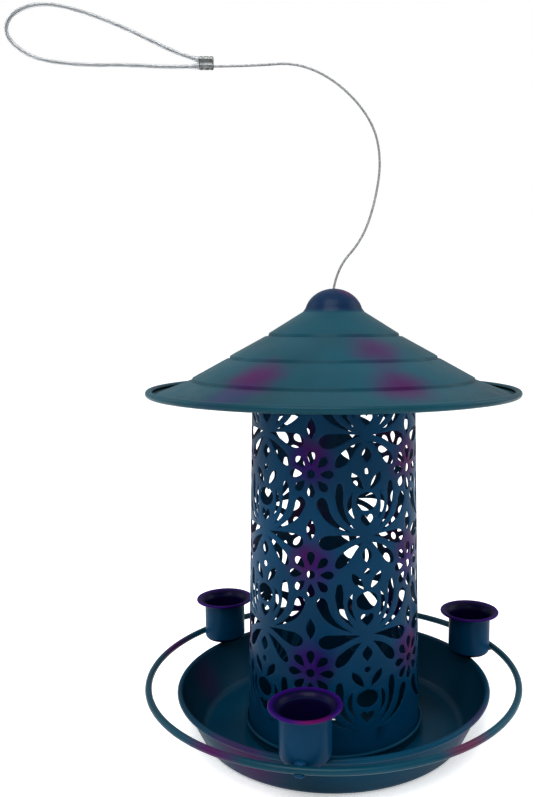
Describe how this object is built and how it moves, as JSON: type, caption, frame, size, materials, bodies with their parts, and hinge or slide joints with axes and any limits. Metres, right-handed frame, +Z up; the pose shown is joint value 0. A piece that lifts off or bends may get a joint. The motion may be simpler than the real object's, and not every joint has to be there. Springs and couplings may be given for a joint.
{
  "type": "hanging bird feeder",
  "caption": "Hanging bird feeder: pierced seed tube on a shallow tray, stepped cone roof that slides up the cable, wire perch ring and small cups.",
  "frame": {"origin": "on the feeder's axis, on the plane that the tray rests on", "axes": "+Z up along the seed tube; -Y is the front, where the front cup is; the hanging loop lies towards -X"},
  "size_m": [0.3204, 0.2402, 0.4561],
  "materials": {
    "body_paint": "satin teal-blue paint, airbrushed plum patches",
    "roof_paint": "satin greyish teal paint, airbrushed plum patches",
    "cup_paint": "satin teal-blue paint with a violet mouth",
    "tray_paint": "satin dark teal paint",
    "ring_paint": "satin teal paint with plum patches",
    "hidden_steel": "painted strip steel",
    "cable_steel": "bare stranded steel cable",
    "ferrule_metal": "crimped aluminium",
    "clear_sleeve": "clear soft plastic tube"
  },
  "bodies": {
    "feeder": {"tray": "tray_paint", "tube_seat": "tray_paint", "seat_rivets": "tray_paint", "feed_tube": "body_paint", "tube_crossbar": "hidden_steel", "crossbar_rivets": "hidden_steel", "cable_stop": "ferrule_metal", "perch_ring": "ring_paint", "cup_front": "cup_paint", "cup_left": "cup_paint", "cup_right": "cup_paint", "cup_welds": "ring_paint", "ring_welds": "ring_paint", "core_cable": "cable_steel", "hanging_cable": "cable_steel", "loop_cable": "cable_steel", "loop_sleeve": "clear_sleeve", "loop_ferrule": "ferrule_metal"},
    "roof": {"roof": "roof_paint"}
  },
  "joints": [
    {"name": "roof_lift", "type": "slide", "parent": "feeder", "child": "roof", "axis": [0, 0, 1], "range_m": [0, 0.1], "deforming": ["hanging_cable"]}
  ]
}
